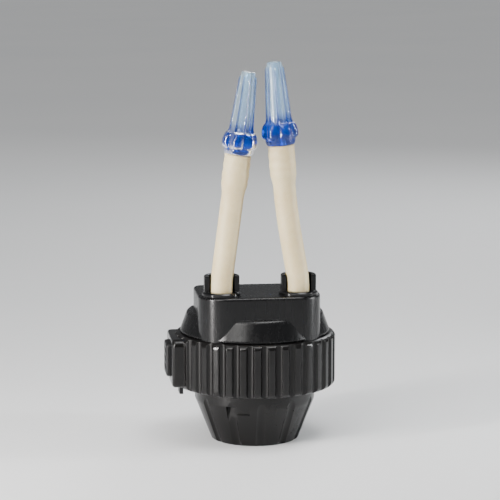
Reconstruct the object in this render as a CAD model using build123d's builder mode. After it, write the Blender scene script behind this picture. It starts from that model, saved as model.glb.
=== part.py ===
from build123d import *
import math
import os

# Peristaltic dosing pump head: a ribbed black cartridge that stands on its drive nose.
# Millimetres. The rotor turns about Z, and the two tube stubs leave at the front, which is -Y.
# The origin is on the rotor's axis, in the plane of the nose's end face.

# Pump tube, and the race that the rollers squeeze it against
TUBE_R = 2.5
TUBE_BORE_R = 1.5
RACE_R = 12.8
TUBE_GAP = 0.1
TRACK_R = RACE_R - TUBE_R - TUBE_GAP
TRACK_Z = 19.2
TRACK_END = -10.0  # degrees; the tube leaves the race here, and at the mirrored angle on the left
BORE_END = -4.0  # degrees; the open bore stops here, where the squeezed stretch begins
BEND_R = 8.0
CHANNEL_R = TUBE_R + 0.15
SQUEEZED_T = 1.65
SQUEEZED_H = 6.8
SQUEEZES = (30, 150)  # degrees; the rollers there press the tube flat
SQUEEZED_FROM = 8.0  # degrees each side of a roller
ROUND_FROM = 34.0

# Stubs: a vertical leg, then bends of (radius, degrees, straight run), leaning inwards
LEAN_Z = 36.5
LEANS = {"left": ((24.0, 7.5, 27.2),), "right": ((20.0, 10.0, 8.0), (130.0, -5.0, 9.55))}
SIDES = {"left": -1, "right": 1}
STRETCHED_R = 3.0
STRETCHED_BORE_R = 2.0
STRETCHED_L = 9.4
STRETCHED_FLARE = 2.5
STRETCHED_LIP = 0.35

# Heights where the casing's pieces meet
SHOULDER_Z = 12.8
FLOOR_Z = 14.0
LID_Z = 24.9
CONE_TOP_Z = 30.0
BLOCK_TOP_Z = 35.0

# Drive nose
NOSE_END_R = 10.0
NOSE_R = 13.75
NOSE_TAPER_Z = 9.5
NOSE_END_EDGE_R = 0.6
NOSE_TAPER_EDGE_R = 2.5
NOSE_WALL = 1.8
NOSE_FLOOR_T = 1.6
BEARING_R = 5.5
FLANGE_R = 6.5
HUB_TUBE_R = 7.0
LEDGE_Z = 8.2  # the ledge that the shaft seal stands on
LEDGE_T = 1.0
LEDGE_GAP = 0.6
BITE = 0.5  # how far a rib runs into the wall that it joins
NOSE_BOSS_R = 1.9
NOSE_RIBS = 6
NOSE_RIB_T = 1.2
NOSE_FLUTES = 12
NOSE_FLUTE_R = 1.7
NOSE_FLUTE_DEPTH = 0.45
BAYONETS = 3
BAYONET_Z = (7.9, 9.7)
BAYONET_FLOOR_R = 12.4
BAYONET_W = 2.4
BAYONET_TURN = 18.0

# Race body, grip shell and cover
BODY_R = 15.4
BODY_FOOT_R = 14.7
FOOT_H = 1.0
SHELL_BORE_R = 15.6
SHELL_LIP_R = 14.9
SHELL_R = 18.5
SHELL_EDGE_R = 1.2
RIBS = 36
FLUTE_R = 0.9
FLUTE_OUT = 0.2
RIB_EDGE_R = 0.3
SHELL_LIP_H = 0.8
KEY_W = 2.2
CONE_R = 17.3
CONE_TOP_R = 15.4
CONE_FOOT_EDGE_R = 0.5
CONE_TOP_EDGE_R = 1.2
BLOCK_HALF_X = 13.8
BLOCK_FRONT = -14.4
BLOCK_BACK = 4.5
BLOCK_FRONT_R = 6.2
BLOCK_BACK_R = 2.0
BLOCK_EDGE_R = 0.7
LIP_GAP = 0.1
LIP_T = 0.6
LIP_H = 1.0
RELIEF_DEPTH = 3.4  # above the upper bush, for the hub's end
POCKET_W = 6.8  # a lightening pocket between the two channels
POCKET_L = 7.6
POCKET_Y = -9.0
POCKET_DEPTH = 8.2

# Ports: a bush in each, over the collar that stops the tube from creeping
PORT_R = 3.6
PORT_SEAT_Z = 27.2
BUSH_FOOT_Z = 30.0
BUSH_BORE_R = TUBE_R + 0.1
BUSH_RIM_R = 4.35
BUSH_RIM_H = 0.9
BUSH_RIM_EDGE = 0.35
SADDLE_BORE_R = TUBE_R + 0.45
SADDLE_FRONT = -0.9
SADDLE_H = 4.2
STOP_R = 3.45
STOP_Z = (27.5, 29.7)

# Screws
SCREW_R = 0.75
SCREW_HOLE_R = 0.95
PILOT_DEPTH = 7.2
COVER_SCREW_R = 14.1
COVER_SCREW_SEAT_Z = 27.5
COVER_HEAD_R = 1.8
COVER_HEAD_H = 1.5
COVER_SCREW_L = 9.2
NOSE_SCREW_R = 9.4
NOSE_HEAD_R = 1.7
NOSE_SCREW_L = 7.5

# Rotor
ROLLER_R = 3.3
ROLLER_PITCH_R = 7.7
ROLLER_BOTTOM_Z = 15.5
ROLLER_TOP_Z = 22.9
PIN_R = 1.0
RUNNING = 0.05
PLATE_R = 9.6
PLATE_T = 1.0
LOWER_PLATE_Z = 14.3
UPPER_PLATE_Z = 23.1
JOURNAL_R = 4.0
TOP_JOURNAL_R = 2.5
HEX_R = 4.0  # half the width across the flats
HUB_BOTTOM_Z = 8.0
HUB_TOP_Z = 27.9
CLIP_Z = 24.2
CLIP_T = 0.5
CLIP_GROOVE_R = 2.0
SOCKET_R = 2.5
SOCKET_TOP_Z = 20.0
KEYWAY_W = 1.2
KEYWAY_R = 3.2
POST_PITCH_R = 5.6
POST_R = 1.2
POST_SCREW_R = 0.6
POST_SCREW_DEPTH = 4.5
POST_HEAD_R = 1.05
WASHER_R = 6.2
WASHER_T = 0.3
RING_R = 3.6
RING_GAP = 2.2
LOWER_BUSH_Z = 9.8
UPPER_BUSH_H = 2.5
SEAL_Z = (8.25, 9.75)

# Release button, on the left side
BUTTON_Z = 19.0
BUTTON_X = -20.6
BUTTON_HALF_Y = 3.4
BUTTON_HALF_Z = 3.8
KEEPER_X = -17.5
KEEPER_T = 0.85
KEEPER_HALF_Y = 4.3
KEEPER_HALF_Z = 4.5
SLIDE_GAP = 0.2
FLANK_X = -19.6  # the shell's flat flank round the button
FLANK_INNER_X = 13.0
FLANK_W = 15.0
FLANK_MARGIN = 0.5
FLANK_CORNER_R = 1.6
FLANK_EDGE_R = 0.8
TOOTH_HALF_Y = 1.9
TOOTH_Z = 10.8
SPRING_R = 1.1
SPRING_WIRE_R = 0.2
SPRING_PITCH = 0.85
SPRING_HOLE_R = 1.6
SPRING_HOLE_X = -19.4
SPRING_SEAT_X = -14.6

# Hose fittings, measured along their own axis from the tube's end face
BARB_R = 1.97
BARB_NECK_R = 1.6
BARB_PITCH = 2.3
BARB_END = -8.8
BARB_END_R = 1.4
COLLAR_CORE_R = 3.3
COLLAR_BEAD = 0.4
COLLAR_LOBE_R = 1.0
COLLAR_LOBE_PITCH_R = 3.1
COLLAR_LOBES = 6
COLLAR_TOP = 4.8
NOZZLE_TOP = 18.4
NOZZLE_BASE_R = 2.5
NOZZLE_TIP_R = 1.6
NOZZLE_RIB_H = 0.3
NOZZLE_RIB_T = 0.6
NOZZLE_RIB_TURNS = (0, 45, 90, 135)
WATERWAY_R = 0.9


def polar(radius, angle, z=0.0):
    """The point at this radius and angle about the rotor's axis."""
    turn = math.radians(angle)
    return Vector(radius * math.cos(turn), radius * math.sin(turn), z)


def profile(corners, plane=Plane.XZ, rounds=()):
    """A face with these corners, (radius, height) on the default plane; rounds are (corner, radius)."""
    with BuildSketch(plane) as face:
        with BuildLine():
            Polyline(*corners, close=True)
        make_face()
        for corner, radius in rounds:
            fillet(face.vertices().sort_by_distance(Vector(*corner))[0], radius=radius)
    return face.sketch


def save(piece, name):
    """Label a finished piece and write it."""
    piece.part.label = name
    export_step(piece.part, f"parts/{name}.step")


# The tube leaves the race on a tangent, bends upwards in that tangent's plane, and so
# finds the place of its vertical leg.
HEADING = polar(1.0, TRACK_END - 90)
LEAVE = polar(TRACK_R, TRACK_END, TRACK_Z)
FOOT = LEAVE + HEADING * BEND_R + Vector(0, 0, BEND_R)


def mirrored(point, side):
    """A place on the right-hand stub, or its mirror image on the left."""
    return Vector(side * point.X, point.Y, point.Z)


def race_exit(side):
    """The end of the tube's wrap and the upward bend after it, as two tangent arcs."""
    elbow = LEAVE + (HEADING - Vector(0, 0, 1)) * (BEND_R * math.sqrt(0.5)) + Vector(0, 0, BEND_R)
    wrap = (polar(TRACK_R, BORE_END, TRACK_Z), polar(TRACK_R, (BORE_END + TRACK_END) / 2, TRACK_Z), LEAVE)
    bend = (LEAVE, elbow, FOOT)
    return [ThreePointArc(*[mirrored(point, side) for point in arc]) for arc in (wrap, bend)]


def stub(side, bends):
    """The leg's line above the bend: up through the port, then leaning towards its neighbour."""
    with BuildLine(Plane.XZ.offset(-FOOT.Y)) as line:
        run = Line((side * FOOT.X, FOOT.Z), (side * FOOT.X, LEAN_Z))
        for radius, turn, length in bends:
            at, heading = run @ 1, run % 1
            arc = JernArc((at.X, at.Z), (heading.X, heading.Z), radius, side * turn)
            at, heading = arc @ 1, arc % 1
            run = Line((at.X, at.Z), (at.X + length * heading.X, at.Z + length * heading.Z))
    return line.line.edges(), run @ 1, run % 1


def channel(side):
    """A round cutter that clears the tube from the race up through the cover."""
    edges = race_exit(side)
    edges.append(Line(edges[-1] @ 1, (edges[-1] @ 1) + Vector(0, 0, BLOCK_TOP_Z - FOOT.Z)))
    path = Wire(edges)
    with BuildPart() as cutter:
        with BuildSketch(Plane(origin=path @ 0, z_dir=path % 0)):
            Circle(CHANNEL_R)
        sweep(path=path)
    return cutter.part


os.makedirs("parts", exist_ok=True)
CHANNELS = [channel(side) for side in SIDES.values()]
STUBS = {name: stub(side, LEANS[name]) for name, side in SIDES.items()}


# ---- Race body: the cup that the tube is wrapped in, with a floor for the lower bearing
with BuildPart() as race_body:
    revolve(
        profile(
            [
                (FLANGE_R + RUNNING, SHOULDER_Z),
                (BODY_FOOT_R, SHOULDER_Z),
                (BODY_FOOT_R, SHOULDER_Z + FOOT_H),
                (BODY_R, SHOULDER_Z + FOOT_H),
                (BODY_R, LID_Z),
                (RACE_R, LID_Z),
                (RACE_R, FLOOR_Z),
                (FLANGE_R + RUNNING, FLOOR_Z),
            ]
        ),
        axis=Axis.Z,
    )
    for cutter in CHANNELS:
        add(cutter, mode=Mode.SUBTRACT)
    with BuildSketch(Plane.XY.offset(LID_Z)):
        with PolarLocations(COVER_SCREW_R, 3, start_angle=30, angular_range=120, endpoint=True):
            Circle(SCREW_R)
    extrude(amount=-PILOT_DEPTH, mode=Mode.SUBTRACT)
    with Locations(Plane.XY.offset(FLOOR_Z)):
        with PolarLocations(NOSE_SCREW_R, 3, start_angle=30):
            CounterSinkHole(
                radius=SCREW_HOLE_R, counter_sink_radius=NOSE_HEAD_R + 0.1, depth=FLOOR_Z - SHOULDER_Z + 1
            )
    with BuildSketch(Plane.YZ.offset(-BODY_R - 1)):
        with Locations((0, BUTTON_Z)):
            Circle(SPRING_HOLE_R)
    extrude(amount=SPRING_SEAT_X + BODY_R + 1, mode=Mode.SUBTRACT)
    with BuildSketch(Plane.XY.offset(SHOULDER_Z)):
        with Locations((BODY_R, 0)):
            Rectangle(2 * (BODY_R - BODY_FOOT_R), KEY_W + SLIDE_GAP)
    extrude(amount=LID_Z - SHOULDER_Z, mode=Mode.SUBTRACT)
save(race_body, "race_body")


# ---- Drive nose: the tapered spigot that plugs into the machine, a cup with ribs and screw
# ---- bosses inside, which the race body's floor closes
nose_rib = extrude(
    profile(
        [
            (HUB_TUBE_R - BITE, NOSE_FLOOR_T - BITE),
            (NOSE_END_R - 2 * BITE, NOSE_FLOOR_T - BITE),
            (NOSE_R - NOSE_WALL + BITE, NOSE_TAPER_Z),
            (NOSE_R - NOSE_WALL + BITE, SHOULDER_Z - BITE),
            (HUB_TUBE_R - BITE, SHOULDER_Z - BITE),
        ]
    ),
    amount=NOSE_RIB_T / 2,
    both=True,
)
taper = Vector(NOSE_R - NOSE_END_R, 0, NOSE_TAPER_Z).normalized()
outwards = Vector(taper.Z, 0, -taper.X)
flute_start = Vector(NOSE_END_R, 0, 0) + outwards * (NOSE_FLUTE_R - NOSE_FLUTE_DEPTH) - taper * 2
nose_flute = extrude(Plane(origin=flute_start, z_dir=taper) * Circle(NOSE_FLUTE_R), amount=16)
with BuildPart() as bayonet:
    with BuildSketch():
        with Locations(((BAYONET_FLOOR_R + NOSE_R) / 2 + 0.5, 0)):
            Rectangle(NOSE_R - BAYONET_FLOOR_R + 1, BAYONET_W)
    extrude(amount=BAYONET_Z[1])
    revolve(
        profile(
            [
                (BAYONET_FLOOR_R, BAYONET_Z[0]),
                (NOSE_R + 1, BAYONET_Z[0]),
                (NOSE_R + 1, BAYONET_Z[1]),
                (BAYONET_FLOOR_R, BAYONET_Z[1]),
            ]
        ),
        axis=Axis.Z,
        revolution_arc=BAYONET_TURN,
    )
with BuildPart() as drive_nose:
    revolve(
        profile(
            [
                (NOSE_END_R, 0),
                (NOSE_R, NOSE_TAPER_Z),
                (NOSE_R, SHOULDER_Z),
                (NOSE_R - NOSE_WALL, SHOULDER_Z),
                (NOSE_R - NOSE_WALL, NOSE_TAPER_Z),
                (NOSE_END_R - 1.2, NOSE_FLOOR_T),
                (HUB_TUBE_R, NOSE_FLOOR_T),
                (HUB_TUBE_R, SHOULDER_Z),
                (BEARING_R, SHOULDER_Z),
                (BEARING_R, LEDGE_Z),
                (JOURNAL_R + LEDGE_GAP, LEDGE_Z),
                (JOURNAL_R + LEDGE_GAP, LEDGE_Z - LEDGE_T),
                (BEARING_R, LEDGE_Z - LEDGE_T),
                (BEARING_R, 0),
            ],
            rounds=[((NOSE_END_R, 0), NOSE_END_EDGE_R), ((NOSE_R, NOSE_TAPER_Z), NOSE_TAPER_EDGE_R)],
        ),
        axis=Axis.Z,
    )
    with PolarLocations(0, NOSE_RIBS):
        add(nose_rib)
    with BuildSketch(Plane.XY.offset(SHOULDER_Z)):
        with PolarLocations(NOSE_SCREW_R, 3, start_angle=30):
            Circle(NOSE_BOSS_R)
    extrude(amount=NOSE_FLOOR_T - BITE - SHOULDER_Z)
    revolve(
        profile(
            [
                (NOSE_END_R, 0),
                (NOSE_R, NOSE_TAPER_Z),
                (NOSE_R, SHOULDER_Z),
                (NOSE_R + 2, SHOULDER_Z),
                (NOSE_R + 2, 0),
            ]
        ),
        axis=Axis.Z,
        mode=Mode.SUBTRACT,
    )
    with PolarLocations(0, NOSE_FLUTES):
        add(nose_flute, mode=Mode.SUBTRACT)
    with PolarLocations(0, BAYONETS):
        add(bayonet.part, mode=Mode.SUBTRACT)
    with BuildSketch(Plane.XY.offset(SHOULDER_Z)):
        with PolarLocations(NOSE_SCREW_R, 3, start_angle=30):
            Circle(SCREW_R)
    extrude(amount=-PILOT_DEPTH, mode=Mode.SUBTRACT)
save(drive_nose, "drive_nose")


# ---- Grip shell: the ribbed sleeve round the race body, with the release button's boss
with BuildPart() as ring_envelope:
    with BuildSketch(Plane.XZ) as ring_section:
        with BuildLine():
            Polyline(
                (0, SHOULDER_Z), (SHELL_R, SHOULDER_Z), (SHELL_R, LID_Z), (0, LID_Z), close=True
            )
        make_face()
        fillet(ring_section.vertices().group_by(Axis.X)[-1], radius=SHELL_EDGE_R)
    revolve(axis=Axis.Z)
with BuildPart() as grip_shell:
    with BuildSketch(Plane.XY.offset(SHOULDER_Z)) as outline:
        Circle(SHELL_R)
        with PolarLocations(SHELL_R + FLUTE_OUT, RIBS):
            Circle(FLUTE_R, mode=Mode.SUBTRACT)
        fillet(outline.vertices(), radius=RIB_EDGE_R)
    extrude(amount=LID_Z - SHOULDER_Z)
    add(ring_envelope.part, mode=Mode.INTERSECT)
    with BuildSketch(Plane.YZ.offset(FLANK_X)):
        with Locations((0, (SHOULDER_Z + LID_Z) / 2)):
            RectangleRounded(FLANK_W, LID_Z - SHOULDER_Z - 2 * FLANK_MARGIN, FLANK_CORNER_R)
    extrude(amount=-FLANK_X - FLANK_INNER_X)
    fillet(grip_shell.edges().group_by(Axis.X)[0], radius=FLANK_EDGE_R)
    revolve(
        profile(
            [
                (0, SHOULDER_Z),
                (SHELL_LIP_R, SHOULDER_Z),
                (SHELL_LIP_R, SHOULDER_Z + SHELL_LIP_H),
                (SHELL_BORE_R, SHOULDER_Z + SHELL_LIP_H),
                (SHELL_BORE_R, LID_Z),
                (0, LID_Z),
            ]
        ),
        axis=Axis.Z,
        mode=Mode.SUBTRACT,
    )
    with BuildSketch(Plane.YZ.offset(KEEPER_X - 0.1)):
        with Locations((0, BUTTON_Z)):
            Rectangle(2 * (BUTTON_HALF_Y + SLIDE_GAP), 2 * (BUTTON_HALF_Z + SLIDE_GAP))
    extrude(amount=-5, mode=Mode.SUBTRACT)
    with BuildSketch(Plane.YZ.offset(KEEPER_X - 0.1)):
        with Locations((0, BUTTON_Z)):
            Rectangle(2 * (KEEPER_HALF_Y + SLIDE_GAP), 2 * (KEEPER_HALF_Z + SLIDE_GAP))
        with Locations((0, SHOULDER_Z)):
            Rectangle(2 * (TOOTH_HALF_Y + SLIDE_GAP), 6)
    extrude(amount=4, mode=Mode.SUBTRACT)
    with BuildSketch(Plane.XY.offset(FLOOR_Z)):
        with Locations((SHELL_BORE_R - 0.2, 0)):
            Rectangle(1.1, KEY_W)
    extrude(amount=LID_Z - FLOOR_Z - 0.2)
save(grip_shell, "grip_shell")


# ---- Top cover: conical shoulder, flat-fronted port block and the upper bearing's seat
with BuildPart() as top_cover:
    revolve(
        profile(
            [(0, LID_Z), (CONE_R, LID_Z), (CONE_TOP_R, CONE_TOP_Z), (0, CONE_TOP_Z)],
            rounds=[((CONE_R, LID_Z), CONE_FOOT_EDGE_R), ((CONE_TOP_R, CONE_TOP_Z), CONE_TOP_EDGE_R)],
        ),
        axis=Axis.Z,
    )
    with BuildSketch(Plane.XY.offset(LID_Z)) as block:
        with Locations((0, (BLOCK_FRONT + BLOCK_BACK) / 2)):
            Rectangle(2 * BLOCK_HALF_X, BLOCK_BACK - BLOCK_FRONT)
        fillet(block.vertices().group_by(Axis.Y)[0], radius=BLOCK_FRONT_R)
        fillet(block.vertices().group_by(Axis.Y)[-1], radius=BLOCK_BACK_R)
    extrude(amount=BLOCK_TOP_Z - LID_Z)
    fillet(top_cover.faces().sort_by(Axis.Z)[-1].edges(), radius=BLOCK_EDGE_R)
    with BuildSketch(Plane.XY.offset(LID_Z)):
        Circle(RACE_R - LIP_GAP)
        Circle(RACE_R - LIP_GAP - LIP_T, mode=Mode.SUBTRACT)
    extrude(amount=-LIP_H)
    for cutter in CHANNELS:
        add(cutter, mode=Mode.SUBTRACT)
    with BuildSketch(Plane.XY.offset(BLOCK_TOP_Z)):
        with Locations((FOOT.X, FOOT.Y), (-FOOT.X, FOOT.Y)):
            Circle(PORT_R)
    extrude(amount=PORT_SEAT_Z - BLOCK_TOP_Z, mode=Mode.SUBTRACT)
    with BuildSketch(Plane.XY.offset(LID_Z)):
        Circle(JOURNAL_R)
    extrude(amount=UPPER_BUSH_H, mode=Mode.SUBTRACT)
    with BuildSketch(Plane.XY.offset(LID_Z)):
        Circle(TOP_JOURNAL_R + 0.4)
    extrude(amount=RELIEF_DEPTH, mode=Mode.SUBTRACT)
    with BuildSketch(Plane.XY.offset(LID_Z)):
        with Locations((0, POCKET_Y)):
            RectangleRounded(POCKET_W, POCKET_L, 1)
    extrude(amount=POCKET_DEPTH, mode=Mode.SUBTRACT)
    with Locations(Plane.XY.offset(COVER_SCREW_SEAT_Z)):
        with PolarLocations(COVER_SCREW_R, 3, start_angle=30, angular_range=120, endpoint=True):
            Hole(radius=SCREW_HOLE_R)
    with BuildSketch(Plane.XY.offset(COVER_SCREW_SEAT_Z)):
        with PolarLocations(COVER_SCREW_R, 3, start_angle=30, angular_range=120, endpoint=True):
            Circle(COVER_HEAD_R + 0.2)
    extrude(amount=BLOCK_TOP_Z - COVER_SCREW_SEAT_Z, mode=Mode.SUBTRACT)
save(top_cover, "top_cover")


# ---- Port bushes and tube stops: each stub passes a bush with an open saddle behind it, and a
# ---- stop collar under the bush keeps the rollers from dragging the tube along
for name, side in SIDES.items():
    port = Plane(origin=(side * FOOT.X, FOOT.Y, 0), x_dir=(1, 0, 0), z_dir=(0, -1, 0))
    port_axis = Axis(port.origin, (0, 0, 1))
    with BuildPart() as port_bush:
        revolve(
            profile(
                [
                    (BUSH_BORE_R, BUSH_FOOT_Z),
                    (PORT_R, BUSH_FOOT_Z),
                    (PORT_R, BLOCK_TOP_Z),
                    (BUSH_RIM_R, BLOCK_TOP_Z),
                    (BUSH_RIM_R, BLOCK_TOP_Z + BUSH_RIM_H - BUSH_RIM_EDGE),
                    (BUSH_RIM_R - BUSH_RIM_EDGE, BLOCK_TOP_Z + BUSH_RIM_H),
                    (BUSH_BORE_R + BUSH_RIM_EDGE, BLOCK_TOP_Z + BUSH_RIM_H),
                    (BUSH_BORE_R, BLOCK_TOP_Z + BUSH_RIM_H - BUSH_RIM_EDGE),
                ],
                port,
            ),
            axis=port_axis,
        )
        with BuildSketch(Plane(origin=(side * FOOT.X, FOOT.Y, BLOCK_TOP_Z + BUSH_RIM_EDGE))):
            Circle(BUSH_RIM_R - BUSH_RIM_EDGE)
            Circle(SADDLE_BORE_R, mode=Mode.SUBTRACT)
            with Locations((0, SADDLE_FRONT)):
                Rectangle(
                    3 * PORT_R, 2 * PORT_R, align=(Align.CENTER, Align.MAX), mode=Mode.SUBTRACT
                )
        extrude(amount=SADDLE_H)
        fillet(port_bush.faces().sort_by(Axis.Z)[-1].edges(), radius=BUSH_RIM_EDGE)
    save(port_bush, f"port_bush_{name}")
    with BuildPart() as tube_stop:
        revolve(
            profile(
                [(TUBE_R, STOP_Z[0]), (STOP_R, STOP_Z[0]), (STOP_R, STOP_Z[1]), (TUBE_R, STOP_Z[1])],
                port,
            ),
            axis=port_axis,
        )
    save(tube_stop, f"tube_stop_{name}")


# ---- Pump tube: one length of elastomer tube, squeezed flat under the two rollers at the back
def flattening(offset):
    """How far the tube is flattened at this many degrees from a roller, from 0 to 1."""
    share = (ROUND_FROM - abs(offset)) / (ROUND_FROM - SQUEEZED_FROM)
    return 0.5 - 0.5 * math.cos(math.pi * min(1.0, max(0.0, share)))


def tube_section(angle, flat):
    """The tube's outline across the race at this angle, always touching the race's wall."""
    thick = 2 * TUBE_R + (SQUEEZED_T - 2 * TUBE_R) * flat
    tall = 2 * TUBE_R + (SQUEEZED_H - 2 * TUBE_R) * flat
    centre = polar(RACE_R - TUBE_GAP - thick / 2, angle, TRACK_Z)
    with BuildSketch(Plane(origin=centre, x_dir=polar(1, angle), z_dir=polar(1, angle + 90))) as face:
        if flat == 0:
            Circle(TUBE_R)
        else:
            Ellipse(thick / 2, tall / 2)
    return face.sketch


SECTION_STEPS = [-ROUND_FROM, -25.3, -16.7, -SQUEEZED_FROM, SQUEEZED_FROM, 16.7, 25.3, ROUND_FROM]
bores = {name: Wire(race_exit(side) + STUBS[name][0]) for name, side in SIDES.items()}
with BuildPart() as pump_tube:
    for middle in SQUEEZES:
        loft([tube_section(middle + step, flattening(step)) for step in SECTION_STEPS])
    between = SQUEEZES[0] + ROUND_FROM
    revolve(tube_section(between, 0), axis=Axis.Z, revolution_arc=SQUEEZES[1] - ROUND_FROM - between)
    for path in bores.values():
        with BuildSketch(Plane(origin=path @ 0, z_dir=path % 0)):
            Circle(TUBE_R)
        sweep(path=path)
    for name in SIDES:
        end, heading = STUBS[name][1:]
        plane = Plane(origin=end, x_dir=(heading.Z, 0, -heading.X), z_dir=(0, -1, 0))
        revolve(
            profile(
                [
                    (0, -STRETCHED_L),
                    (TUBE_R, -STRETCHED_L),
                    (STRETCHED_R, STRETCHED_FLARE - STRETCHED_L),
                    (STRETCHED_R, -STRETCHED_LIP),
                    (STRETCHED_R - STRETCHED_LIP, 0),
                    (0, 0),
                ],
                plane,
            ),
            axis=Axis(end, heading),
        )
    for path in bores.values():
        with BuildSketch(Plane(origin=path @ 0, z_dir=path % 0)):
            Circle(TUBE_BORE_R)
        sweep(path=path, mode=Mode.SUBTRACT)
    for name in SIDES:
        end, heading = STUBS[name][1:]
        with BuildSketch(Plane(origin=end, z_dir=heading)):
            Circle(STRETCHED_BORE_R)
        extrude(amount=BARB_END - 0.1, mode=Mode.SUBTRACT)
save(pump_tube, "pump_tube")


# ---- Hose fittings: a barb in the tube's end, a lobed finger collar and a tapered ribbed nozzle
for name in SIDES:
    end, heading = STUBS[name][1:]
    across = Vector(heading.Z, 0, -heading.X)
    plane = Plane(origin=end, x_dir=across, z_dir=(0, -1, 0))
    barbs = [(0, BARB_END), (BARB_END_R, BARB_END)]
    for tooth in (3, 2, 1):
        barbs += [(BARB_R, -tooth * BARB_PITCH), (BARB_NECK_R, -tooth * BARB_PITCH)]
    with BuildPart() as fitting:
        revolve(
            profile(
                barbs
                + [
                    (BARB_NECK_R, 0),
                    (COLLAR_CORE_R, 0),
                    (COLLAR_CORE_R + COLLAR_BEAD, COLLAR_BEAD),
                    (COLLAR_CORE_R + COLLAR_BEAD, 2.5 * COLLAR_BEAD),
                    (COLLAR_CORE_R, 3.5 * COLLAR_BEAD),
                    (COLLAR_CORE_R, COLLAR_TOP - 0.5),
                    (NOZZLE_BASE_R, COLLAR_TOP),
                    (NOZZLE_TIP_R, NOZZLE_TOP),
                    (0, NOZZLE_TOP),
                ],
                plane,
            ),
            axis=Axis(end, heading),
        )
        with BuildSketch(Plane(origin=end + heading * 3 * COLLAR_BEAD, x_dir=across, z_dir=heading)):
            with PolarLocations(COLLAR_LOBE_PITCH_R, COLLAR_LOBES):
                Circle(COLLAR_LOBE_R)
        extrude(amount=COLLAR_TOP - 3.5 * COLLAR_BEAD)
        for turn in NOZZLE_RIB_TURNS:
            radial = across.rotate(Axis((0, 0, 0), heading), turn)
            rib = profile(
                [
                    (-NOZZLE_BASE_R - NOZZLE_RIB_H, COLLAR_TOP - 0.5),
                    (NOZZLE_BASE_R + NOZZLE_RIB_H, COLLAR_TOP - 0.5),
                    (NOZZLE_TIP_R + NOZZLE_RIB_H, NOZZLE_TOP - 1.2),
                    (NOZZLE_TIP_R, NOZZLE_TOP - 0.4),
                    (-NOZZLE_TIP_R, NOZZLE_TOP - 0.4),
                    (-NOZZLE_TIP_R - NOZZLE_RIB_H, NOZZLE_TOP - 1.2),
                ],
                Plane(origin=end, x_dir=radial, z_dir=radial.cross(heading)),
            )
            extrude(rib, amount=NOZZLE_RIB_T / 2, both=True)
        with BuildSketch(Plane(origin=end + heading * (BARB_END - 0.2), z_dir=heading)):
            Circle(WATERWAY_R)
        extrude(amount=NOZZLE_TOP - BARB_END + 1, mode=Mode.SUBTRACT)
    save(fitting, f"hose_fitting_{name}")


# ---- Bearings and the shaft seal, all fixed in the casing
with BuildPart() as lower_bush:
    revolve(
        profile(
            [
                (JOURNAL_R + RUNNING, LOWER_BUSH_Z),
                (BEARING_R, LOWER_BUSH_Z),
                (BEARING_R, SHOULDER_Z),
                (FLANGE_R, SHOULDER_Z),
                (FLANGE_R, FLOOR_Z - 0.1),
                (JOURNAL_R + RUNNING, FLOOR_Z - 0.1),
            ]
        ),
        axis=Axis.Z,
    )
save(lower_bush, "lower_bush")

with BuildPart() as upper_bush:
    revolve(
        profile(
            [
                (TOP_JOURNAL_R + RUNNING, LID_Z),
                (JOURNAL_R, LID_Z),
                (JOURNAL_R, LID_Z + UPPER_BUSH_H),
                (TOP_JOURNAL_R + RUNNING, LID_Z + UPPER_BUSH_H),
            ]
        ),
        axis=Axis.Z,
    )
save(upper_bush, "upper_bush")

with BuildPart() as shaft_seal:
    revolve(
        profile(
            [
                (JOURNAL_R + RUNNING, (SEAL_Z[0] + SEAL_Z[1]) / 2),
                (JOURNAL_R + 0.5, SEAL_Z[0]),
                (BEARING_R, SEAL_Z[0]),
                (BEARING_R, SEAL_Z[1]),
                (JOURNAL_R + RUNNING, SEAL_Z[1]),
            ]
        ),
        axis=Axis.Z,
    )
save(shaft_seal, "shaft_seal")


# ---- Rotor hub: the keyed drive socket, a hexagon for the plates and a journal at each end
with BuildPart() as rotor_hub:
    with BuildSketch(Plane.XY.offset(HUB_BOTTOM_Z)):
        Circle(JOURNAL_R)
    extrude(amount=LOWER_PLATE_Z - HUB_BOTTOM_Z)
    with BuildSketch(Plane.XY.offset(LOWER_PLATE_Z)):
        RegularPolygon(HEX_R, 6, major_radius=False)
    extrude(amount=UPPER_PLATE_Z + PLATE_T - LOWER_PLATE_Z)
    with BuildSketch(Plane.XY.offset(UPPER_PLATE_Z + PLATE_T)):
        Circle(TOP_JOURNAL_R)
    extrude(amount=HUB_TOP_Z - UPPER_PLATE_Z - PLATE_T)
    with BuildSketch(Plane.XY.offset(CLIP_Z)):
        Circle(TOP_JOURNAL_R + 1)
        Circle(CLIP_GROOVE_R, mode=Mode.SUBTRACT)
    extrude(amount=CLIP_T, mode=Mode.SUBTRACT)
    with BuildSketch(Plane.XY.offset(HUB_BOTTOM_Z)):
        Circle(SOCKET_R)
        Rectangle(2 * KEYWAY_R, KEYWAY_W)
    extrude(amount=SOCKET_TOP_Z - HUB_BOTTOM_Z, mode=Mode.SUBTRACT)
save(rotor_hub, "rotor_hub")


# ---- Rotor plates: the lower one carries three screw posts, and both hold the roller pins
with BuildPart() as rotor_lower_plate:
    with BuildSketch(Plane.XY.offset(LOWER_PLATE_Z)):
        Circle(PLATE_R)
        RegularPolygon(HEX_R, 6, major_radius=False, mode=Mode.SUBTRACT)
        with PolarLocations(ROLLER_PITCH_R, 3, start_angle=30):
            Circle(PIN_R, mode=Mode.SUBTRACT)
    extrude(amount=PLATE_T)
    with BuildSketch(Plane.XY.offset(LOWER_PLATE_Z + PLATE_T)):
        with PolarLocations(POST_PITCH_R, 3, start_angle=90):
            Circle(POST_R)
    extrude(amount=UPPER_PLATE_Z - LOWER_PLATE_Z - PLATE_T)
    with BuildSketch(Plane.XY.offset(UPPER_PLATE_Z)):
        with PolarLocations(POST_PITCH_R, 3, start_angle=90):
            Circle(POST_SCREW_R)
    extrude(amount=-POST_SCREW_DEPTH, mode=Mode.SUBTRACT)
save(rotor_lower_plate, "rotor_lower_plate")

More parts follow.
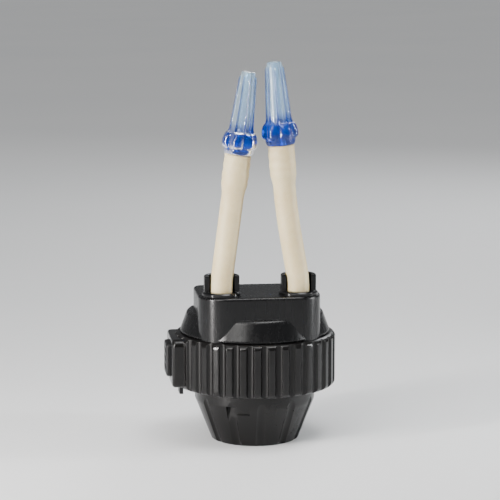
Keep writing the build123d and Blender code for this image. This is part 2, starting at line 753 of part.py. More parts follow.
with BuildPart() as rotor_upper_plate:
    with BuildSketch(Plane.XY.offset(UPPER_PLATE_Z)):
        Circle(PLATE_R)
        RegularPolygon(HEX_R, 6, major_radius=False, mode=Mode.SUBTRACT)
        with PolarLocations(ROLLER_PITCH_R, 3, start_angle=30):
            Circle(PIN_R, mode=Mode.SUBTRACT)
    extrude(amount=PLATE_T)
    with Locations(Plane.XY.offset(UPPER_PLATE_Z + PLATE_T)):
        with PolarLocations(POST_PITCH_R, 3, start_angle=90):
            CounterSinkHole(
                radius=POST_SCREW_R, counter_sink_radius=POST_HEAD_R + RUNNING, depth=2 * PLATE_T
            )
save(rotor_upper_plate, "rotor_upper_plate")

with BuildPart() as thrust_washer:
    with BuildSketch(Plane.XY.offset(FLOOR_Z - 0.05)):
        Circle(WASHER_R)
        Circle(JOURNAL_R + RUNNING, mode=Mode.SUBTRACT)
    extrude(amount=WASHER_T)
save(thrust_washer, "thrust_washer")

with BuildPart() as retaining_ring:
    with BuildSketch(Plane.XY.offset(CLIP_Z)):
        Circle(RING_R)
        Circle(CLIP_GROOVE_R, mode=Mode.SUBTRACT)
        with Locations((0, -3)):
            Rectangle(RING_GAP, RING_R, mode=Mode.SUBTRACT)
    extrude(amount=CLIP_T)
save(retaining_ring, "retaining_ring")


# ---- Rollers on their pins
for number in range(3):
    centre = polar(ROLLER_PITCH_R, 30 + 120 * number)
    with BuildPart() as roller_pin:
        with BuildSketch(Plane(origin=(centre.X, centre.Y, LOWER_PLATE_Z + 0.2))):
            Circle(PIN_R)
        extrude(amount=UPPER_PLATE_Z + PLATE_T - LOWER_PLATE_Z - 0.4)
        chamfer(roller_pin.edges().filter_by(GeomType.CIRCLE), length=0.15)
    save(roller_pin, f"roller_pin_{number + 1}")
    with BuildPart() as roller:
        with BuildSketch(Plane(origin=(centre.X, centre.Y, ROLLER_BOTTOM_Z))):
            Circle(ROLLER_R)
        extrude(amount=ROLLER_TOP_Z - ROLLER_BOTTOM_Z)
        chamfer(roller.edges().filter_by(GeomType.CIRCLE), length=0.4)
        with BuildSketch(Plane(origin=(centre.X, centre.Y, ROLLER_BOTTOM_Z))):
            Circle(PIN_R + RUNNING)
        extrude(amount=ROLLER_TOP_Z - ROLLER_BOTTOM_Z, mode=Mode.SUBTRACT)
    save(roller, f"roller_{number + 1}")


# ---- Release button: a side button whose tooth locks the head in the machine, and its spring
with BuildPart() as release_button:
    with BuildSketch(Plane.YZ.offset(BUTTON_X)):
        with Locations((0, BUTTON_Z)):
            RectangleRounded(2 * BUTTON_HALF_Y, 2 * BUTTON_HALF_Z, 1)
    extrude(amount=KEEPER_X - BUTTON_X)
    fillet(release_button.faces().sort_by(Axis.X)[0].edges(), radius=0.45)
    with BuildSketch(Plane.YZ.offset(KEEPER_X)):
        with Locations((0, BUTTON_Z)):
            Rectangle(2 * KEEPER_HALF_Y, 2 * KEEPER_HALF_Z)
        with Locations((0, TOOTH_Z)):
            Rectangle(2 * TOOTH_HALF_Y, 6, align=(Align.CENTER, Align.MIN))
    extrude(amount=KEEPER_T)
    with BuildSketch(Plane.YZ.offset(SPRING_HOLE_X)):
        with Locations((0, BUTTON_Z)):
            Circle(SPRING_HOLE_R)
    extrude(amount=5, mode=Mode.SUBTRACT)
    with BuildSketch(Plane.XZ):
        with Locations(*[(BUTTON_X - 0.35, BUTTON_Z + step) for step in (-1.9, 0, 1.9)]):
            Circle(0.65)
    extrude(amount=2.4, both=True, mode=Mode.SUBTRACT)
save(release_button, "release_button")

spring_start = SPRING_HOLE_X + 0.1 + SPRING_WIRE_R
spring_length = SPRING_SEAT_X - 0.05 - SPRING_WIRE_R - spring_start
coil = Helix(
    pitch=SPRING_PITCH,
    height=spring_length,
    radius=SPRING_R,
    center=(spring_start, 0, BUTTON_Z),
    direction=(1, 0, 0),
)
with BuildPart() as button_spring:
    with BuildSketch(Plane(origin=coil @ 0, z_dir=coil % 0)):
        Circle(SPRING_WIRE_R)
    sweep(path=coil, is_frenet=True)
save(button_spring, "button_spring")


# ---- Screws: three under the rotor for the nose, three in the cover and three in the rotor
with BuildPart() as nose_screws:
    with BuildSketch(Plane.XY.offset(FLOOR_Z - 0.05)):
        with PolarLocations(NOSE_SCREW_R, 3, start_angle=30):
            Circle(NOSE_HEAD_R)
    extrude(amount=SCREW_R - NOSE_HEAD_R, taper=45)
    with BuildSketch(Plane.XY.offset(FLOOR_Z - 0.5)):
        with PolarLocations(NOSE_SCREW_R, 3, start_angle=30):
            Circle(SCREW_R)
    extrude(amount=-NOSE_SCREW_L)
save(nose_screws, "nose_screws")

with BuildPart() as cover_screws:
    with BuildSketch(Plane.XY.offset(COVER_SCREW_SEAT_Z)):
        with PolarLocations(COVER_SCREW_R, 3, start_angle=30, angular_range=120, endpoint=True):
            Circle(COVER_HEAD_R)
    extrude(amount=COVER_HEAD_H)
    fillet(cover_screws.faces().group_by(Axis.Z)[-1].edges(), radius=0.5)
    with BuildSketch(Plane.XY.offset(COVER_SCREW_SEAT_Z + 0.7)):
        with PolarLocations(COVER_SCREW_R, 3, start_angle=30, angular_range=120, endpoint=True):
            RegularPolygon(0.85, 6)
    extrude(amount=1, mode=Mode.SUBTRACT)
    with BuildSketch(Plane.XY.offset(COVER_SCREW_SEAT_Z)):
        with PolarLocations(COVER_SCREW_R, 3, start_angle=30, angular_range=120, endpoint=True):
            Circle(SCREW_R)
    extrude(amount=-COVER_SCREW_L)
save(cover_screws, "cover_screws")

with BuildPart() as rotor_screws:
    with BuildSketch(Plane.XY.offset(UPPER_PLATE_Z + PLATE_T)):
        with PolarLocations(POST_PITCH_R, 3, start_angle=90):
            Circle(POST_HEAD_R)
    extrude(amount=-0.45, taper=45)
    with BuildSketch(Plane.XY.offset(UPPER_PLATE_Z + PLATE_T - 0.3)):
        with PolarLocations(POST_PITCH_R, 3, start_angle=90):
            Circle(POST_SCREW_R - 0.02)
    extrude(amount=-4)
save(rotor_screws, "rotor_screws")
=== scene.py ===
import math

import bmesh
import bpy
from mathutils import Matrix, Vector


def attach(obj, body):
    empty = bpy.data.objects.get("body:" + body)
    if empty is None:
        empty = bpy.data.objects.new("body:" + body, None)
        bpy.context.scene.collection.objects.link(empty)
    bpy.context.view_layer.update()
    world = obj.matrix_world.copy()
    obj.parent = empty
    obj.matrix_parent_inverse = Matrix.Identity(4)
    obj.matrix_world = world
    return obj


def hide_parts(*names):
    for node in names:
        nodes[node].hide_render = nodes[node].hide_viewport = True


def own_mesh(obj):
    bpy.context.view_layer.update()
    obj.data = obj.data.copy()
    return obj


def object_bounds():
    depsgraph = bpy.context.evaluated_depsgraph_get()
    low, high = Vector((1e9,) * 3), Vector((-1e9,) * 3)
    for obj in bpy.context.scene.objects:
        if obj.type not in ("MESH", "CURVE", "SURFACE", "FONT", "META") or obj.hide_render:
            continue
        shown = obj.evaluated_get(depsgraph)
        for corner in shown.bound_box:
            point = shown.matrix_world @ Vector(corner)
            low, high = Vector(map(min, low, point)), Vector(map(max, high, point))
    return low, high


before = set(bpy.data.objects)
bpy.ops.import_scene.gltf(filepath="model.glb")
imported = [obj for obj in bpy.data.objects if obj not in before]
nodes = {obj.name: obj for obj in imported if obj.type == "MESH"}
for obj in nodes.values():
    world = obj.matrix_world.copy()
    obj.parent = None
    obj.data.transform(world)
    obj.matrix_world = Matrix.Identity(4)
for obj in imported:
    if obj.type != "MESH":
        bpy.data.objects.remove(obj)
cad_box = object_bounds()
mm = 0.001


# ---- Camera: a long lens, a little above the head and a little to its left, so that the button's
# ---- flank and both stubs show. The head stands on its nose and nearly fills the picture's height.
middle = (cad_box[0] + cad_box[1]) / 2
camera_turn = math.radians(-7)
camera_rise = math.radians(9)
camera_distance = 0.475
camera = bpy.data.objects.new("camera", bpy.data.cameras.new("camera"))
bpy.context.scene.collection.objects.link(camera)
towards_camera = Vector(
    (
        math.sin(camera_turn) * math.cos(camera_rise),
        -math.cos(camera_turn) * math.cos(camera_rise),
        math.sin(camera_rise),
    )
)
camera.data.lens = 150
camera.data.clip_start = 0.01
camera.location = middle + towards_camera * camera_distance
camera.rotation_euler = towards_camera.to_track_quat("Z", "Y").to_euler()
bpy.context.scene.camera = camera


# ---- Studio lights: a broad soft key above on the left, a tall strip low on the left that draws the
# ---- long highlight down grip and nose, a weaker strip on the right, and a sheet of light overhead.
def softbox(name, place, size, watts, tint=(1, 1, 1), spread=180):
    """A rectangular soft light at this place, turned to the middle of the head."""
    light = bpy.data.lights.new(name, "AREA")
    light.shape = "RECTANGLE"
    light.size, light.size_y = size
    light.energy = watts
    light.color = tint
    light.spread = math.radians(spread)
    lamp = bpy.data.objects.new(name, light)
    bpy.context.scene.collection.objects.link(lamp)
    lamp.location = place
    lamp.rotation_euler = (Vector(place) - middle).to_track_quat("Z", "Y").to_euler()


softbox("key", (-0.30, -0.42, 0.42), (0.26, 0.26), 1.9, (1.0, 0.985, 0.96))
softbox("left_strip", (-0.19, -0.105, 0.075), (0.014, 0.15), 0.34, (1.0, 0.97, 0.95), spread=100)
softbox("right_strip", (0.22, -0.03, 0.085), (0.010, 0.15), 0.18, (0.97, 0.99, 1.0), spread=100)
softbox("overhead", (0.10, -0.10, 0.50), (0.30, 0.12), 1.2)
softbox("back_rim", (0.22, 0.40, 0.30), (0.16, 0.16), 0.8, (0.96, 0.98, 1.0))

sky = bpy.data.lights.new("ceiling", "SUN")
sky.energy = 1.15
sky.angle = math.radians(60)
ceiling = bpy.data.objects.new("ceiling", sky)
bpy.context.scene.collection.objects.link(ceiling)
ceiling.rotation_euler = (math.radians(12), math.radians(-10), 0)

world = bpy.data.worlds.new("studio")
bpy.context.scene.world = world
world.use_nodes = True
world.node_tree.nodes["Background"].inputs["Color"].default_value = (0.86, 0.88, 0.90, 1)
world.node_tree.nodes["Background"].inputs["Strength"].default_value = 0.2


# ---- Floor: a wide sheet of pale matt card under the head, with the faint unevenness of card.
class Signal:
    """A socket in a material's node tree. Arithmetic on signals adds the Math nodes for it."""

    def __init__(self, tree, socket=None):
        self.tree = tree
        self.socket = socket

    def node(self, kind, settings=None, inputs=None, output=0):
        """Any node: its settings are set first, then its sockets get values or signals."""
        made = self.tree.nodes.new(kind)
        for name, value in (settings or {}).items():
            setattr(made, name, value)
        for name, value in (inputs or {}).items():
            if isinstance(value, Signal):
                self.tree.links.new(value.socket, made.inputs[name])
            else:
                made.inputs[name].default_value = value
        return Signal(self.tree, made.outputs[output] if made.outputs else None)

    def math(self, operation, first, second=0.0):
        return self.node("ShaderNodeMath", {"operation": operation}, {0: first, 1: second})

    def __add__(self, other):
        return self.math("ADD", self, other)

    __radd__ = __add__

    def __sub__(self, other):
        return self.math("SUBTRACT", self, other)

    def __rsub__(self, other):
        return self.math("SUBTRACT", other, self)

    def __mul__(self, other):
        return self.math("MULTIPLY", self, other)

    __rmul__ = __mul__

    def ramp(self, low, high):
        """0 where this signal is at low or less, 1 at high or more, and straight between."""
        inputs = {"Value": self, "From Min": low, "From Max": high}
        return self.node("ShaderNodeMapRange", {"clamp": True}, inputs)

    def tint(self, colour, other):
        """colour where this signal is 0 and other where it is 1."""
        mix = {"data_type": "RGBA", "clamp_factor": True}
        return self.node("ShaderNodeMix", mix, {0: self, 6: colour, 7: other}, output=2)


def rgb(red, green, blue):
    return (red, green, blue, 1.0)


def noise(place, per_metre, detail=2.0, roughness=0.5, stretch=(1, 1, 1)):
    """Noise with this many features to the metre along an unstretched axis."""
    squeezed = place.node("ShaderNodeMapping", inputs={"Vector": place, "Scale": stretch})
    inputs = {"Vector": squeezed, "Scale": per_metre, "Detail": detail, "Roughness": roughness}
    return place.node("ShaderNodeTexNoise", inputs=inputs)


def bump(height, depth, onto=None, strength=1.0):
    """A normal that tilts with a height signal, where 1 stands depth metres proud."""
    inputs = {"Height": height, "Distance": depth, "Strength": strength}
    if onto:
        inputs["Normal"] = onto
    return height.node("ShaderNodeBump", inputs=inputs)


def finish(name, recipe):
    """A material whose Principled shader gets the sockets that recipe(place) returns."""
    material = bpy.data.materials.new(name)
    material.use_nodes = True
    tree = material.node_tree
    tree.nodes.clear()
    place = Signal(tree).node("ShaderNodeTexCoord", output="Object")
    shader = place.node("ShaderNodeBsdfPrincipled", inputs=recipe(place))
    place.node("ShaderNodeOutputMaterial", inputs={"Surface": shader})
    return material


def card(place):
    cloud = noise(place, 6.0, 3.0)
    fibre = noise(place, 900.0, 4.0, 0.6)
    return {
        "Base Color": cloud.tint(rgb(0.74, 0.75, 0.76), rgb(0.80, 0.80, 0.80)),
        "Roughness": 0.62 + 0.12 * fibre,
        "Normal": bump(fibre, 0.00003),
        "Specular IOR Level": 0.3,
    }


sheet = bmesh.new()
bmesh.ops.create_circle(sheet, cap_ends=True, segments=96, radius=9.0)
floor_mesh = bpy.data.meshes.new("floor")
sheet.to_mesh(floor_mesh)
sheet.free()
floor = bpy.data.objects.new("floor", floor_mesh)
bpy.context.scene.collection.objects.link(floor)
floor_mesh.materials.append(finish("pale_card", card))


# ---- Casing: race body and drive nose, moulded in black glass-filled nylon and screwed together.
# ---- Satin, with flow clouds, a fine sparked grain, rubbed lighter edges and a little dust.
def moulded(tone, gloss, grain, rub=0.5, dust=0.25):
    """A recipe for black moulded plastic: its tone, mean roughness and depth of grain in metres."""

    def recipe(place):
        flow = noise(place, 140.0, 4.0, 0.6, stretch=(1, 1, 0.45))
        speck = noise(place, 5200.0, 2.0, 0.6)
        sink = noise(place, 420.0, 1.0)
        handled = noise(place, 90.0, 3.0, 0.65)
        softened = place.node("ShaderNodeBevel", {"samples": 4}, {"Radius": 0.00022})
        facing = place.node("ShaderNodeNewGeometry", output="Normal")
        dot = {"operation": "DOT_PRODUCT"}
        agree = place.node("ShaderNodeVectorMath", dot, {0: softened, 1: facing}, output="Value")
        edge = (1 - agree).ramp(0.01, 0.16) * handled.ramp(0.35, 0.62)
        specks = noise(place, 2600.0, 3.0, 0.7).ramp(0.62, 0.78) * handled.ramp(0.42, 0.7)
        darker = rgb(*(channel * 0.8 for channel in tone))
        lighter = rgb(*(channel * 1.25 for channel in tone))
        plain = flow.ramp(0.25, 0.75).tint(darker, lighter)
        rubbed = (edge * rub).tint(plain, rgb(0.026, 0.025, 0.025))
        dusted = (specks * dust).tint(rubbed, rgb(0.06, 0.058, 0.055))
        moulded_gloss = gloss - 0.05 + 0.10 * flow
        handled_gloss = moulded_gloss + 0.08 * handled.ramp(0.3, 0.7) - 0.06 * edge
        return {
            "Base Color": dusted,
            "Roughness": handled_gloss + 0.25 * (specks * dust),
            "Normal": bump(speck, grain, onto=bump(sink, 0.00002, onto=softened, strength=0.5)),
            "Specular IOR Level": 0.30,
        }

    return recipe


def carry_over(material, *names):
    """Gives CAD nodes this material."""
    for name in names:
        for slot in nodes[name].material_slots:
            slot.material = material


housing_black = moulded((0.0029, 0.0025, 0.0024), 0.20, 0.0000028)
carry_over(finish("black_housing", housing_black), "race_body", "drive_nose")


# ---- Grip shell: the ribbed sleeve, moulded in the same black but polished by fingers, so that the
# ---- crests of its ribs are glossier than the flutes between them, where dust stays.
def grip(place):
    base = moulded((0.0026, 0.0022, 0.0021), 0.19, 0.0000025, rub=0.6, dust=0.15)(place)
    flat = place.node("ShaderNodeVectorMath", {"operation": "MULTIPLY"}, {0: place, 1: (1, 1, 0)})
    out = place.node("ShaderNodeVectorMath", {"operation": "LENGTH"}, {0: flat}, output="Value")
    crest = out.ramp(0.0178, 0.01845)
    worn = crest * noise(place, 160.0, 3.0, 0.6).ramp(0.35, 0.6)
    base["Roughness"] = base["Roughness"] - 0.10 * worn + 0.12 * (1 - crest)
    base["Base Color"] = (worn * 0.3).tint(base["Base Color"], rgb(0.012, 0.012, 0.012))
    return base


carry_over(finish("black_grip", grip), "grip_shell")


# ---- Top cover: cone, port block and screw seats in one black moulding, a little glossier, with
# ---- faint drag marks down its sides from the mould.
def cover(place):
    base = moulded((0.0040, 0.0040, 0.0043), 0.20, 0.0000022, rub=0.7, dust=0.25)(place)
    drag = noise(place, 1500.0, 2.0, 0.5, stretch=(1, 1, 0.04))
    base["Roughness"] = base["Roughness"] + 0.08 * drag.ramp(0.45, 0.7)
    return base


carry_over(finish("black_cover", cover), "top_cover")


# ---- Port bushes and tube stops: small polished black acetal mouldings pushed into the ports.
carry_over(
    finish("black_bush", moulded((0.003, 0.003, 0.0033), 0.14, 0.0000013, rub=0.8, dust=0.15)),
    "port_bush_left",
    "port_bush_right",
    "tube_stop_left",
    "tube_stop_right",
)


# ---- Release button: textured black plastic, dull so that a thumb doesn't slip off it.
button_black = moulded((0.0055, 0.0055, 0.006), 0.40, 0.00001, rub=0.8)
carry_over(finish("black_button", button_black), "release_button")


# ---- Bearings, rollers and rotor plates: natural white acetal, turned or moulded, slightly waxy.
def acetal(place):
    cloud = noise(place, 220.0, 3.0)
    turned = noise(place, 300.0, 2.0, 0.5, stretch=(0.2, 0.2, 14.0))
    return {
        "Base Color": cloud.tint(rgb(0.80, 0.79, 0.75), rgb(0.74, 0.72, 0.67)),
        "Roughness": 0.34 + 0.14 * turned,
        "Normal": bump(turned, 0.000006),
        "Subsurface Weight": 0.15,
        "Subsurface Radius": (0.0012, 0.0010, 0.0008),
        "Subsurface Scale": 1.0,
    }


carry_over(
    finish("white_acetal", acetal),
    "lower_bush",
    "upper_bush",
    "thrust_washer",
    "rotor_lower_plate",
    "rotor_upper_plate",
    "roller_1",
    "roller_2",
    "roller_3",
)


# ---- Shaft seal: moulded black nitrile rubber, dull and slightly bloomed with wax.
def rubber(place):
    bloom = noise(place, 500.0, 4.0, 0.6)
    return {
        "Base Color": bloom.tint(rgb(0.016, 0.016, 0.016), rgb(0.040, 0.039, 0.038)),
        "Roughness": 0.62 + 0.2 * bloom,
        "Normal": bump(noise(place, 4000.0), 0.00001),
    }


carry_over(finish("seal_rubber", rubber), "shaft_seal")


# ---- Metalwork: stainless screws, the roller pins and the turned drive hub, each with the fine
# ---- marks of its making and a little tarnish.
def metal(tone, gloss, marks, stretch):
    """A recipe for worked steel: its tone, roughness, tool marks to the metre and their stretch."""

    def recipe(place):
        tool = noise(place, marks, 3.0, 0.6, stretch)
        tarnish = noise(place, 700.0, 3.0, 0.6).ramp(0.45, 0.8)
        return {
            "Base Color": (0.5 * tarnish).tint(rgb(*tone), rgb(*(c * 0.55 for c in tone))),
            "Metallic": 1.0 - 0.1 * tarnish,
            "Roughness": gloss + 0.12 * tool + 0.10 * tarnish,
            "Normal": bump(tool, 0.000004),
        }

    return recipe


carry_over(
    finish("screw_steel", metal((0.58, 0.58, 0.59), 0.22, 2600.0, (1, 1, 3))),
    "nose_screws",
    "cover_screws",
    "rotor_screws",
    "retaining_ring",
)
carry_over(
    finish("hub_steel", metal((0.62, 0.62, 0.63), 0.20, 900.0, (0.2, 0.2, 9))),
    "rotor_hub",
    "roller_pin_1",
    "roller_pin_2",
    "roller_pin_3",
)


# ---- Pump tube: one length of extruded beige elastomer. It is squeezed flat by the two rollers at the
# ---- back of the race, comes up through the ports, and is stretched over a barbed fitting at each end.
tube_r = 2.5 * mm
bore_r = 1.5 * mm
race_r = 12.8 * mm
race_gap = 0.1 * mm
track_z = 19.2 * mm
track_end = -10
bend_r = 8.0 * mm
leg_top = 36.5 * mm
roller_angle = 30
squeezed_half_t = 0.82 * mm
squeezed_half_h = 3.4 * mm
squeezed_from = 8
round_from = 34
stretched_r = 3.0 * mm
stretched_bore_r = 2.0 * mm
stretched_l = 9.4 * mm
stretch_l = 3.2 * mm
barb_pitch = 2.3 * mm
barb_bulge = 0.10 * mm
barbs = 3
wall_gap = 0.03 * mm
shut_bore_t = 0.06 * mm
lip = 0.32 * mm
lip_steps = 8
wrap_steps = 40
bend_steps = 12
leg_steps = 6
lean_steps = 8
ring_gap = 0.35 * mm
leans = {
    "left": ((24.0 * mm, 7.5), (None, 27.2 * mm)),
    "right": ((20.0 * mm, 10.0), (None, 8.0 * mm), (130.0 * mm, -5.0), (None, 9.55 * mm)),
}


def smooth(share):
    """0 to 1 with a soft start and a soft end."""
    share = min(1.0, max(0.0, share))
    return share * share * (3 - 2 * share)


def pose(place, along, across):
    """A ring's own frame: X across the tube, Z along it."""
    along = along.normalized()
    side = along.cross(across).normalized()
    return Matrix.Translation(place) @ Matrix((side.cross(along), side, along)).transposed().to_4x4()


def advance(at, length, turn, axis):
    """The frame this length further along an arc that turns about a world axis."""
    half = Matrix.Rotation(turn / 2, 4, axis)
    turned = half @ at.to_3x3().to_4x4()
    chord = length * (math.sin(turn / 2) / (turn / 2) if turn else 1.0)
    place = at.translation + turned.col[2].xyz * chord
    return Matrix.Translation(place) @ half @ turned


def wrap():
    """Frames, half thicknesses and half heights along the right half of the wrap, from the back."""
    for step in range(wrap_steps + 1):
        angle = 90 + (track_end - 90) * step / wrap_steps
        share = (round_from - abs(angle - roller_angle)) / (round_from - squeezed_from)
        flat = smooth(share)
        half_t = tube_r + (squeezed_half_t - tube_r) * flat
        half_h = tube_r + (squeezed_half_h - tube_r) * flat
        turn = math.radians(angle)
        out = Vector((math.cos(turn), math.sin(turn), 0))
        along = Vector((math.sin(turn), -math.cos(turn), 0))
        centre = out * (race_r - race_gap - half_t) + Vector((0, 0, track_z))
        bore_t = shut_bore_t + (bore_r - shut_bore_t) * (1 - flat)
        bore_h = bore_r + (half_h - tube_r) * flat
        yield pose(centre, along, out), (half_t, half_h), (bore_t, bore_h)


def stub_steps(lean):
    """The arcs and straight runs above the race's exit, as (length, turn, axis) steps."""
    sideways = Vector((0, 1, 0))
    exit_turn = math.radians(track_end)
    exit_across = Vector((math.cos(exit_turn), math.sin(exit_turn), 0))
    bend_turn = math.pi / 2 / bend_steps
    yield from [(bend_r * bend_turn, -bend_turn, exit_across)] * bend_steps
    foot_z = track_z + bend_r
    yield from [((leg_top - foot_z) / leg_steps, 0.0, sideways)] * leg_steps
    for radius, amount in lean:
        if radius:
            turn = -math.radians(amount) / lean_steps
            yield from [(radius * abs(turn), turn, sideways)] * lean_steps
        else:
            pieces = round(amount / ring_gap)
            yield from [(amount / pieces, 0.0, sideways)] * pieces


def half_tube(lean):
    """All the frames and sizes from the middle of the wrap to one end of the tube."""
    rings = list(wrap())
    stub = [rings[-1][0]]
    gone = [0.0]
    for length, turn, axis in stub_steps(lean):
        stub.append(advance(stub[-1], length, turn, axis))
        gone.append(gone[-1] + length)
    for at, done in zip(stub[1:], gone[1:]):
        left = gone[-1] - done
        stretched = smooth((stretched_l - left) / stretch_l)
        ripple = 0.5 + 0.5 * math.cos(2 * math.pi * left / barb_pitch)
        bulge = barb_bulge * ripple * smooth(barbs + 0.4 - left / barb_pitch)
        outer = tube_r + (stretched_r - barb_bulge - tube_r) * stretched + bulge
        inner = bore_r + (stretched_bore_r + wall_gap - bore_r) * stretched
        rings.append((at, (outer, outer), (inner, inner)))
    return rings


mirror = Matrix.Scale(-1, 4, (1, 0, 0))
halves = {name: half_tube(lean) for name, lean in leans.items()}
tube_ends = {"left": mirror @ halves["left"][-1][0], "right": halves["right"][-1][0]}


def shaped(at, size):
    return at @ Matrix.Diagonal((size[0], size[1], 1, 1))


whole = [(mirror @ at, outer, inner) for at, outer, inner in reversed(halves["left"])]
whole += halves["right"][1:]
skin = [shaped(at, outer) for at, outer, inner in whole]
lining = [shaped(at, inner) for at, outer, inner in reversed(whole)]


def lip_rings(at, outer, inner):
    """The rounded end of the tube's wall, from its outside over to its bore."""
    half_wall = (outer[0] - inner[0]) / 2
    for step in range(1, lip_steps):
        turn = math.pi * step / lip_steps
        radius = inner[0] + half_wall + half_wall * math.cos(turn)
        drop = lip * (1 - math.sin(turn))
        yield shaped(at @ Matrix.Translation((0, 0, -drop)), (radius, radius))


right_lip = list(lip_rings(*whole[-1]))
left_lip = list(lip_rings(*whole[0]))
for rings in (skin, lining):
    for end in (0, -1):
        rings[end] = rings[end] @ Matrix.Translation((0, 0, -lip))
stations = skin + right_lip + lining + left_lip[::-1]


def loft(stations, segments, endless=True):
    """A bmesh skin through these rings, each a unit circle put in place by its matrix. It is closed
    from the last ring back to the first, or else has a cap on each end."""
    form = bmesh.new()
    bmesh.ops.create_circle(form, cap_ends=False, segments=segments, radius=1.0)
    bmesh.ops.transform(form, matrix=stations[0], verts=form.verts)
    first = list(form.edges)
    rim = first
    for before, after in zip(stations, stations[1:]):
        made = bmesh.ops.extrude_edge_only(form, edges=rim)["geom"]
        rim = [part for part in made if isinstance(part, bmesh.types.BMEdge)]
        moved = [part for part in made if isinstance(part, bmesh.types.BMVert)]
        rim = [edge for edge in rim if all(corner in moved for corner in edge.verts)]
        bmesh.ops.transform(form, matrix=after @ before.inverted(), verts=moved)
    if endless:
        bmesh.ops.bridge_loops(form, edges=first + rim)
    else:
        bmesh.ops.holes_fill(form, edges=first + rim)
    bmesh.ops.recalc_face_normals(form, faces=form.faces)
    return form


def shown(name, form, material, body, *replaced, slot):
    """A smooth-shaded piece made of this bmesh, riding on a body in place of its CAD nodes."""
    mesh = bpy.data.meshes.new(name)
    form.to_mesh(mesh)
    form.free()
    mesh.shade_smooth()
    mesh.materials.append(material)
    piece = bpy.data.objects.new(name, mesh)
    bpy.context.scene.collection.objects.link(piece)
    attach(piece, body)
    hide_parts(*replaced)
    return piece


def elastomer(place):
    mottle = noise(place, 160.0, 4.0, 0.6)
    die_lines = noise(place, 2600.0, 2.0, 0.5, stretch=(1, 1, 0.02))
    talc = noise(place, 900.0, 4.0, 0.7).ramp(0.5, 0.75)
    cream = mottle.ramp(0.3, 0.7).tint(rgb(0.58, 0.46, 0.25), rgb(0.69, 0.58, 0.35))
    return {
        "Base Color": (0.22 * talc).tint(cream, rgb(0.72, 0.65, 0.48)),
        "Roughness": 0.42 + 0.12 * mottle + 0.16 * talc,
        "Normal": bump(die_lines, 0.000012, onto=bump(mottle, 0.00005)),
        "Subsurface Weight": 0.25,
        "Subsurface Radius": (0.0024, 0.0016, 0.0009),
        "Subsurface Scale": 1.0,
        "Specular IOR Level": 0.45,
    }


shown(
    "pump_tube_formed",
    loft(stations, 40),
    finish("tube_elastomer", elastomer),
    "housing",
    "pump_tube",
    slot="tube_elastomer",
)


# ---- Button spring: a coil of drawn wire between button and race body, with its last turn closed at
# ---- each end. On the real head it shortens as the button goes in; here it is wound at one length.
coil_start = -19.1 * mm
coil_end = -14.85 * mm
coil_z = 19.0 * mm
coil_r = 1.1 * mm
wire_r = 0.2 * mm
coil_turns = 6
closed_pitch = 2 * wire_r + 0.02 * mm
steps_a_turn = 24


def coil_rings():
    """A ring across the wire at each step along the coil, close-wound at both ends."""
    count = coil_turns * steps_a_turn
    open_pitch = (coil_end - coil_start - 2 * closed_pitch) / (coil_turns - 2)
    at = coil_start
    for step in range(count + 1):
        turn = 2 * math.pi * step / steps_a_turn
        end_turn = step < steps_a_turn or step >= count - steps_a_turn
        pitch = closed_pitch if end_turn else open_pitch
        out = Vector((0, math.cos(turn), math.sin(turn)))
        round_a_turn = 2 * math.pi * coil_r
        along = Vector((pitch, -round_a_turn * math.sin(turn), round_a_turn * math.cos(turn)))
        centre = Vector((at, 0, coil_z)) + out * coil_r
        yield shaped(pose(centre, along, out), (wire_r, wire_r))
        at += pitch / steps_a_turn


button_coil = shown(
    "button_spring_wound",
    loft(list(coil_rings()), 12, endless=False),
    finish("spring_steel", metal((0.50, 0.50, 0.52), 0.26, 6000.0, (0.3, 1, 1))),
    "housing",
    "button_spring",
    slot="spring_steel",
)
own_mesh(button_coil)


# ---- Hose fittings: one translucent blue moulding in each end of the tube, with barbs inside the
# ---- tube, a lobed collar for the fingers and a long tapered nozzle with eight thin ribs.
barb_r = 1.97 * mm
barb_neck_r = 1.6 * mm
barb_end = -8.8 * mm
collar_core_r = 3.25 * mm
collar_lobe_h = 0.85 * mm
collar_top = 4.8 * mm
collar_lobes = 6
nozzle_top = 18.4 * mm
nozzle_base_r = 2.5 * mm
nozzle_tip_r = 1.6 * mm
nozzle_ribs = 8
nozzle_rib_h = 0.42 * mm
nozzle_flare = 0.28 * mm
waterway_r = 0.9 * mm
rings_up_collar = 22
rings_up_nozzle = 36


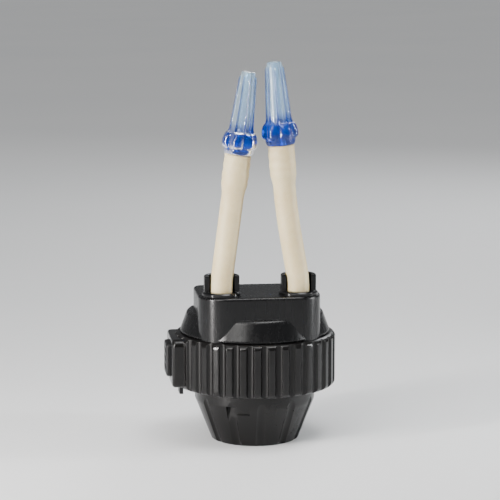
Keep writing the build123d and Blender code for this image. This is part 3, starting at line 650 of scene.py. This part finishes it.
def fitting_rings():
    """(height, radius, lobe height, rib height, depth of colour) for each ring, barbs first."""
    yield barb_end, waterway_r, 0, 0, 0.5
    yield barb_end, 1.3 * mm, 0, 0, 0.5
    yield barb_end + 0.1 * mm, 1.4 * mm, 0, 0, 0.5
    for tooth in range(barbs, 0, -1):
        crest = -tooth * barb_pitch
        yield crest - 0.08 * mm, barb_r, 0, 0, 0.5
        yield crest, barb_r - 0.05 * mm, 0, 0, 0.5
        yield crest + 0.05 * mm, barb_neck_r, 0, 0, 0.5
    yield 0.02 * mm, barb_neck_r, 0, 0, 0.8
    yield 0.04 * mm, 3.0 * mm, 0.0, 0, 1.0
    neck_r = nozzle_base_r + 0.25 * mm
    for step in range(rings_up_collar + 1):
        share = step / rings_up_collar
        height = 0.1 * mm + share * (collar_top - 0.1 * mm)
        belly = math.sin(math.pi * (0.06 + 0.88 * share)) ** 0.45
        groove = 1 - 0.16 * math.exp(-(((share - 0.26) / 0.045) ** 2))
        radius = neck_r + (collar_core_r - neck_r) * belly * groove
        lobed = 0.35 + 0.65 * smooth((share - 0.2) / 0.2)
        yield height, radius, collar_lobe_h * belly * lobed * groove, 0, 1.0
    for step in range(rings_up_nozzle + 1):
        share = step / rings_up_nozzle
        height = collar_top + 0.06 * mm + share * (nozzle_top - collar_top - 0.30 * mm)
        flare = nozzle_flare * (1 - smooth(share / 0.06))
        ribs = nozzle_rib_h * (1 - smooth((share - 0.90) / 0.07))
        depth = 0.75 * (1 - smooth(share / 0.22)) + 0.05
        yield height, nozzle_base_r + flare + (nozzle_tip_r - nozzle_base_r) * share, 0, ribs, depth
    yield nozzle_top - 0.06 * mm, nozzle_tip_r - 0.08 * mm, 0, 0, 0.05
    yield nozzle_top, nozzle_tip_r - 0.22 * mm, 0, 0, 0.05
    yield nozzle_top, waterway_r + 0.15 * mm, 0, 0, 0.05
    yield nozzle_top - 0.15 * mm, waterway_r, 0, 0, 0.05
    yield collar_top, waterway_r, 0, 0, 0.4


def fitting(at):
    """A closed skin through the rings, with each ring's outline lobed or ribbed round the axis."""
    form = bmesh.new()
    depth_layer = form.verts.layers.float.new("colour_depth")
    rings = list(fitting_rings())
    bmesh.ops.create_circle(form, cap_ends=False, segments=144, radius=1.0)
    first = list(form.edges)
    rim, fresh = first, list(form.verts)
    for number, (height, radius, lobe_h, rib_h, depth) in enumerate(rings):
        if number:
            made = bmesh.ops.extrude_edge_only(form, edges=rim)["geom"]
            fresh = [part for part in made if isinstance(part, bmesh.types.BMVert)]
            rim = [part for part in made if isinstance(part, bmesh.types.BMEdge)]
            rim = [edge for edge in rim if all(corner in fresh for corner in edge.verts)]
        for vert in fresh:
            turn = math.atan2(vert.co.y, vert.co.x)
            lobe = (0.5 + 0.5 * math.cos(collar_lobes * turn)) ** 0.7
            rib = max(0.0, math.cos(nozzle_ribs * turn)) ** 7
            out = radius + lobe_h * lobe + rib_h * rib
            vert.co = Vector((out * math.cos(turn), out * math.sin(turn), height))
            vert[depth_layer] = min(1.0, depth + 0.9 * rib * rib_h / nozzle_rib_h)
    bmesh.ops.bridge_loops(form, edges=first + rim)
    bmesh.ops.recalc_face_normals(form, faces=form.faces)
    bmesh.ops.transform(form, matrix=at, verts=form.verts)
    return form


def blue_plastic(place):
    depth = place.node("ShaderNodeAttribute", {"attribute_name": "colour_depth"}, output="Fac")
    flow = noise(place, 420.0, 3.0, 0.6, stretch=(1, 1, 0.4))
    return {
        "Base Color": depth.tint(rgb(0.60, 0.82, 0.97), rgb(0.003, 0.055, 0.46)),
        "Roughness": 0.06 + 0.10 * flow,
        "Normal": bump(flow, 0.00004),
        "IOR": 1.49,
        "Transmission Weight": 0.8,
    }


blue = finish("blue_plastic", blue_plastic)
for name, at in tube_ends.items():
    shown(
        f"hose_fitting_{name}_moulded",
        fitting(at),
        blue,
        "housing",
        f"hose_fitting_{name}",
        slot="blue_plastic",
    )
